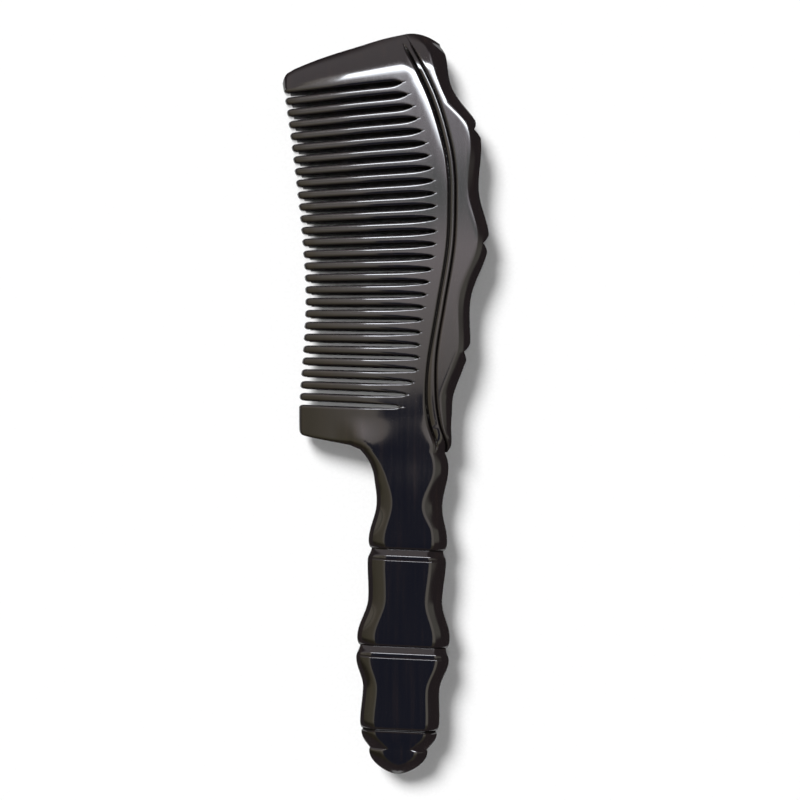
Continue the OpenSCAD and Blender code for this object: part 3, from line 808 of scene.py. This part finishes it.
def linear(colour):
    """Linear colour from an sRGB hex value."""
    shares = [int(colour[i:i + 2], 16) / 255 for i in (1, 3, 5)]
    return [c / 12.92 if c <= 0.04045 else ((c + 0.055) / 1.055) ** 2.4 for c in shares] + [1.0]


def add(tree, kind, inputs=None, stops=(), **settings):
    """Adds a node with its settings, each input linked or set, and a ramp's (position, colour) stops."""
    node = tree.nodes.new(kind)
    for name, value in settings.items():
        setattr(node, name, value)
    for name, value in (inputs or {}).items():
        if isinstance(value, bpy.types.NodeSocket):
            tree.links.new(value, node.inputs[name])
        else:
            node.inputs[name].default_value = value
    if stops:
        elements = node.color_ramp.elements
        while len(elements) < len(stops):
            elements.new(1.0)
        for element, (position, colour) in zip(elements, stops):
            element.position = position
            element.color = linear(colour)
    return node


def new_material(name):
    material = bpy.data.materials.new(name)
    material.use_nodes = True
    material.node_tree.nodes.clear()
    return material, material.node_tree


def polished_horn():
    """Black buffalo horn, sawn, scraped and buffed with wax: near black, with brown streaks along its growth,
    a glassy wax polish over it and slight ripples left by the hand buffing."""
    material, tree = new_material("buffalo_horn_buffed")
    streak_width, streak_length = 1.2 * MM, 30 * MM
    ripple = 7 * MM
    place = add(tree, "ShaderNodeTexCoord").outputs["Object"]
    along = add(tree, "ShaderNodeMapping", {
        "Vector": place, "Scale": (1 / streak_width, 1 / streak_length, 1 / streak_width)}).outputs["Vector"]
    streaks = add(tree, "ShaderNodeTexNoise", {
        "Vector": along, "Scale": 1.0, "Detail": 4.0, "Roughness": 0.6})
    colour = add(tree, "ShaderNodeValToRGB", {"Fac": streaks.outputs["Fac"]},
                 stops=[(0.3, "#0a090b"), (0.55, "#0f0d0d"), (0.75, "#1a1310")])
    buffing = add(tree, "ShaderNodeTexNoise", {"Vector": place, "Scale": 1 / ripple, "Detail": 1.0})
    dullness = add(tree, "ShaderNodeMapRange", {
        "Value": streaks.outputs["Fac"], "From Min": 0.3, "From Max": 0.7, "To Min": 0.07, "To Max": 0.13})
    ripples = add(tree, "ShaderNodeBump", {
        "Height": buffing.outputs["Fac"], "Strength": 1.0, "Distance": 0.012 * MM})
    grain = add(tree, "ShaderNodeBump", {
        "Height": streaks.outputs["Fac"], "Strength": 1.0, "Distance": 0.002 * MM,
        "Normal": ripples.outputs["Normal"]})
    shader = add(tree, "ShaderNodeBsdfPrincipled", {
        "Base Color": colour.outputs["Color"], "Roughness": dullness.outputs["Result"], "IOR": 1.55,
        "Coat Weight": 1.0, "Coat Roughness": 0.05, "Coat IOR": 1.45, "Normal": grain.outputs["Normal"]})
    add(tree, "ShaderNodeOutputMaterial", {"Surface": shader.outputs["BSDF"]})
    return material


def sawn_horn():
    """The same horn on the walls of the slots, left as the saw cut it: dull, with fine upright saw marks."""
    material, tree = new_material("buffalo_horn_sawn")
    mark_width, mark_length = 0.4 * MM, 4 * MM
    place = add(tree, "ShaderNodeTexCoord").outputs["Object"]
    upright = add(tree, "ShaderNodeMapping", {
        "Vector": place, "Scale": (1 / mark_width, 1 / mark_width, 1 / mark_length)}).outputs["Vector"]
    marks = add(tree, "ShaderNodeTexNoise", {"Vector": upright, "Scale": 1.0, "Detail": 2.0})
    colour = add(tree, "ShaderNodeValToRGB", {"Fac": marks.outputs["Fac"]},
                 stops=[(0.3, "#0d0b0b"), (0.7, "#1c1715")])
    dullness = add(tree, "ShaderNodeMapRange", {"Value": marks.outputs["Fac"], "To Min": 0.5, "To Max": 0.7})
    relief = add(tree, "ShaderNodeBump", {
        "Height": marks.outputs["Fac"], "Strength": 1.0, "Distance": 0.02 * MM})
    shader = add(tree, "ShaderNodeBsdfPrincipled", {
        "Base Color": colour.outputs["Color"], "Roughness": dullness.outputs["Result"], "IOR": 1.55,
        "Normal": relief.outputs["Normal"]})
    add(tree, "ShaderNodeOutputMaterial", {"Surface": shader.outputs["BSDF"]})
    return material


def drawn_steel():
    """Mild steel rod, drawn through a die: grey, with fine scores along its length."""
    material, tree = new_material("mild_steel_drawn")
    # Real scores are too fine to show, so they are drawn this wide
    score_width, score_length = 0.3 * MM, 40 * MM
    place = add(tree, "ShaderNodeTexCoord").outputs["Object"]
    along = add(tree, "ShaderNodeMapping", {
        "Vector": place, "Scale": (1 / score_width, 1 / score_length, 1 / score_width)}).outputs["Vector"]
    scores = add(tree, "ShaderNodeTexNoise", {"Vector": along, "Scale": 1.0, "Detail": 3.0})
    colour = add(tree, "ShaderNodeValToRGB", {"Fac": scores.outputs["Fac"]},
                 stops=[(0.3, "#8a8c8f"), (0.7, "#b4b6b8")])
    dullness = add(tree, "ShaderNodeMapRange", {
        "Value": scores.outputs["Fac"], "To Min": 0.25, "To Max": 0.45})
    relief = add(tree, "ShaderNodeBump", {
        "Height": scores.outputs["Fac"], "Strength": 1.0, "Distance": 0.01 * MM})
    shader = add(tree, "ShaderNodeBsdfPrincipled", {
        "Base Color": colour.outputs["Color"], "Metallic": 1.0, "Roughness": dullness.outputs["Result"],
        "Normal": relief.outputs["Normal"]})
    add(tree, "ShaderNodeOutputMaterial", {"Surface": shader.outputs["BSDF"]})
    return material


def matte_paper():
    """White backdrop paper, uncoated: an even matte white with a faint tooth."""
    material, tree = new_material("backdrop_paper_uncoated")
    # Real fibres are too fine to show, so they are drawn this wide
    fibre_width = 0.8 * MM
    place = add(tree, "ShaderNodeTexCoord").outputs["Object"]
    fibres = add(tree, "ShaderNodeTexNoise", {"Vector": place, "Scale": 1 / fibre_width, "Detail": 2.0})
    colour = add(tree, "ShaderNodeValToRGB", {"Fac": fibres.outputs["Fac"]},
                 stops=[(0.3, "#f2f2f2"), (0.7, "#f6f6f6")])
    shader = add(tree, "ShaderNodeBsdfPrincipled", {
        "Base Color": colour.outputs["Color"], "Roughness": 0.9, "Specular IOR Level": 0.1})
    add(tree, "ShaderNodeOutputMaterial", {"Surface": shader.outputs["BSDF"]})
    return material


# Stage

def make_floor():
    """Sheet of backdrop paper that the comb lies on."""
    reach = 1500 * MM
    mesh = bpy.data.meshes.new("floor")
    mesh.from_pydata([(-reach, -reach, 0), (reach, -reach, 0), (reach, reach, 0), (-reach, reach, 0)], [],
                     [(0, 1, 2, 3)])
    floor = bpy.data.objects.new("floor", mesh)
    bpy.context.scene.collection.objects.link(floor)
    mesh.materials.append(matte_paper())


# The frame in pixels, the millimetres of the comb in one pixel, and the shift of the frame's middle in pixels
FRAME_PIXELS = 800
PIXEL_SIZE = 0.2717
FRAME_SHIFT = (-5, 25)
CAMERA_HEIGHT = 350.0
CAMERA_OVER = (5.3, -5.8)
SENSOR_WIDTH = 36.0


def make_camera():
    """Looks straight down from above the foot of the blade. The shift puts the whole comb in the frame."""
    data = bpy.data.cameras.new("camera")
    data.sensor_fit = "HORIZONTAL"
    data.sensor_width = SENSOR_WIDTH
    data.lens = SENSOR_WIDTH * CAMERA_HEIGHT / (FRAME_PIXELS * PIXEL_SIZE)
    data.shift_x = FRAME_SHIFT[0] / FRAME_PIXELS
    data.shift_y = FRAME_SHIFT[1] / FRAME_PIXELS
    camera = bpy.data.objects.new("camera", data)
    camera.location = [d * MM for d in (*CAMERA_OVER, SPINE_FOOT_HALF + CAMERA_HEIGHT)]
    bpy.context.scene.collection.objects.link(camera)
    bpy.context.scene.camera = camera


def make_lamp(name, direction, energy, spread):
    """Broad lamp. Polished horn would mirror its disc, so it lights the matte surfaces only."""
    data = bpy.data.lights.new(name, "SUN")
    data.energy = energy
    data.angle = math.radians(spread)
    lamp = bpy.data.objects.new(name, data)
    lamp.rotation_euler = Vector(direction).to_track_quat("Z", "Y").to_euler()
    lamp.visible_glossy = False
    bpy.context.scene.collection.objects.link(lamp)


# The room that polished horn mirrors. A place in it is the slope of a ray from straight up, across the comb
# and along it. Each side of a patch is (outside, inside), with a soft edge between the two
Patch = namedtuple("Patch", "left right low high")
LIT_ROOM = Patch((-2.3, -2.1), (0.45, 0.35), (-1.7, -1.1), (1.3, 0.6))
SIDE_WALL = Patch((0.3, 0.4), (1.25, 0.95), (-0.25, -0.1), (0.32, 0.02))
FAR_WALL = Patch((-2.3, -2.1), (0.3, 0.2), (0.5, 0.64), (2.6, 1.6))
CAMERA_STAND = Patch((-0.115, -0.105), (0.13, 0.11), (-1.4, -1.2), (0.049, 0.041))
WINDOW = Patch((-0.172, -0.164), (0.42, 0.34), (0.27, 0.41), (0.53, 0.47))

# Tones of the ceiling along the comb and its shade across it, over these spans of the slope
CEILING_SPAN = (-0.6, 0.4)
CEILING_TONES = [(0.0, "#6a6456"), (0.3, "#b8b2a4"), (0.65, "#c0b8b4"), (0.7, "#d4cccb"), (0.76, "#faeef2"),
                 (0.795, "#b4b8b8"), (0.815, "#b4b8b8"), (0.84, "#f4ecf4"), (1.0, "#fff8ff")]
SHADE_SPAN = (-1.6, 0.4)
SHADE_TONES = [(0.0, "#aaa692"), (0.62, "#c0bca8"), (0.78, "#ffffff")]

# Slopes are measured as if no ray lay lower than this
HORIZON = 0.02

ROOM_STRENGTH = 1.8
WINDOW_STRENGTH = 22.0
FILL_STRENGTH = 0.12


def sky_patch(tree, across, along, patch):
    """Share of a soft-edged rectangle of the room."""
    share = None
    for value, (outside, inside) in zip((across, across, along, along), patch):
        side = add(tree, "ShaderNodeMapRange", {
            "Value": value, "From Min": outside, "From Max": inside}, interpolation_type="SMOOTHSTEP")
        side = side.outputs["Result"]
        if share:
            side = add(tree, "ShaderNodeMath", {0: share, 1: side}, operation="MULTIPLY").outputs["Value"]
        share = side
    return share


def make_world():
    """Studio surround. Polished horn mirrors a pale ceiling in a darker room, with a wall at its side, a wall
    and a window beyond the top of the comb and a dark camera stand overhead. The camera sees plain white, and
    matte surfaces an even light."""
    world = bpy.data.worlds.new("studio")
    bpy.context.scene.world = world
    world.use_nodes = True
    tree = world.node_tree
    tree.nodes.clear()
    direction = add(tree, "ShaderNodeTexCoord").outputs["Generated"]
    ray = add(tree, "ShaderNodeSeparateXYZ", {"Vector": direction})
    up = add(tree, "ShaderNodeMath", {0: ray.outputs["Z"], 1: HORIZON}, operation="MAXIMUM").outputs["Value"]
    slopes = [add(tree, "ShaderNodeMath", {0: ray.outputs[axis], 1: up}, operation="DIVIDE") for axis in "XY"]
    across, along = [node.outputs["Value"] for node in slopes]
    length = add(tree, "ShaderNodeMapRange", {
        "Value": along, "From Min": CEILING_SPAN[0], "From Max": CEILING_SPAN[1]})
    ceiling = add(tree, "ShaderNodeValToRGB", {"Fac": length.outputs["Result"]}, stops=CEILING_TONES)
    width = add(tree, "ShaderNodeMapRange", {
        "Value": across, "From Min": SHADE_SPAN[0], "From Max": SHADE_SPAN[1]})
    shade = add(tree, "ShaderNodeValToRGB", {"Fac": width.outputs["Result"]}, stops=SHADE_TONES)
    room = add(tree, "ShaderNodeMix", {0: 1.0, 6: ceiling.outputs["Color"], 7: shade.outputs["Color"]},
               data_type="RGBA", blend_type="MULTIPLY")
    lit = sky_patch(tree, across, along, LIT_ROOM)
    room = add(tree, "ShaderNodeMix", {0: lit, 6: linear("#4e4446"), 7: room.outputs[2]}, data_type="RGBA")
    for patch, colour in ((SIDE_WALL, "#98948c"), (FAR_WALL, "#9c9496"), (CAMERA_STAND, "#30364c")):
        share = sky_patch(tree, across, along, patch)
        room = add(tree, "ShaderNodeMix", {0: share, 6: room.outputs[2], 7: linear(colour)}, data_type="RGBA")
    mirrored = add(tree, "ShaderNodeBackground", {"Color": room.outputs[2], "Strength": ROOM_STRENGTH})
    panes = add(tree, "ShaderNodeBackground", {"Color": linear("#f4f8ff"), "Strength": WINDOW_STRENGTH})
    window = sky_patch(tree, across, along, WINDOW)
    seen = add(tree, "ShaderNodeMixShader", {0: window, 1: mirrored.outputs[0], 2: panes.outputs[0]})
    fill = add(tree, "ShaderNodeBackground", {"Color": linear("#ffffff"), "Strength": FILL_STRENGTH})
    white = add(tree, "ShaderNodeBackground", {"Color": linear("#ffffff"), "Strength": 1.0})
    path = add(tree, "ShaderNodeLightPath")
    polished = add(tree, "ShaderNodeMath", {
        0: path.outputs["Is Glossy Ray"], 1: path.outputs["Is Transmission Ray"]}, operation="MAXIMUM")
    unseen = add(tree, "ShaderNodeMixShader", {
        0: polished.outputs[0], 1: fill.outputs[0], 2: seen.outputs[0]})
    shown = add(tree, "ShaderNodeMixShader", {
        0: path.outputs["Is Camera Ray"], 1: unseen.outputs[0], 2: white.outputs[0]})
    add(tree, "ShaderNodeOutputWorld", {"Surface": shown.outputs[0]})


# Dressing the frame

SHARP_ANGLE = math.radians(38)


def dress(piece, node, *materials):
    """Shades a piece, gives it its materials and puts it in the place of its node."""
    for material in materials:
        piece.data.materials.append(material)
    piece.data.shade_smooth()
    piece.data.set_sharp_from_angle(angle=SHARP_ANGLE)
    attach(piece, "root")
    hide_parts(node)


horn = polished_horn()
dress(make_blade(), "blade", horn, sawn_horn())
dress(make_spine(), "spine", horn)
dress(make_neck(), "handle_neck", horn)
dress(make_body("horn_middle", 1), "handle_middle", horn)
dress(make_body("horn_lower", 2), "handle_lower", horn)
dress(make_butt(), "handle_butt", horn)

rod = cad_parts["core_rod"]
rod.data.materials.clear()
rod.data.materials.append(drawn_steel())

make_floor()
make_camera()
# The key at the upper left gives the soft shadow on the right; the fill overhead reaches down the saw slots
make_lamp("key", direction=(-0.64, 0.88, 1.0), energy=3.9, spread=24)
make_lamp("fill", direction=(0.0, 0.0, 1.0), energy=0.52, spread=6)
make_world()
bpy.context.scene.view_settings.view_transform = "Standard"
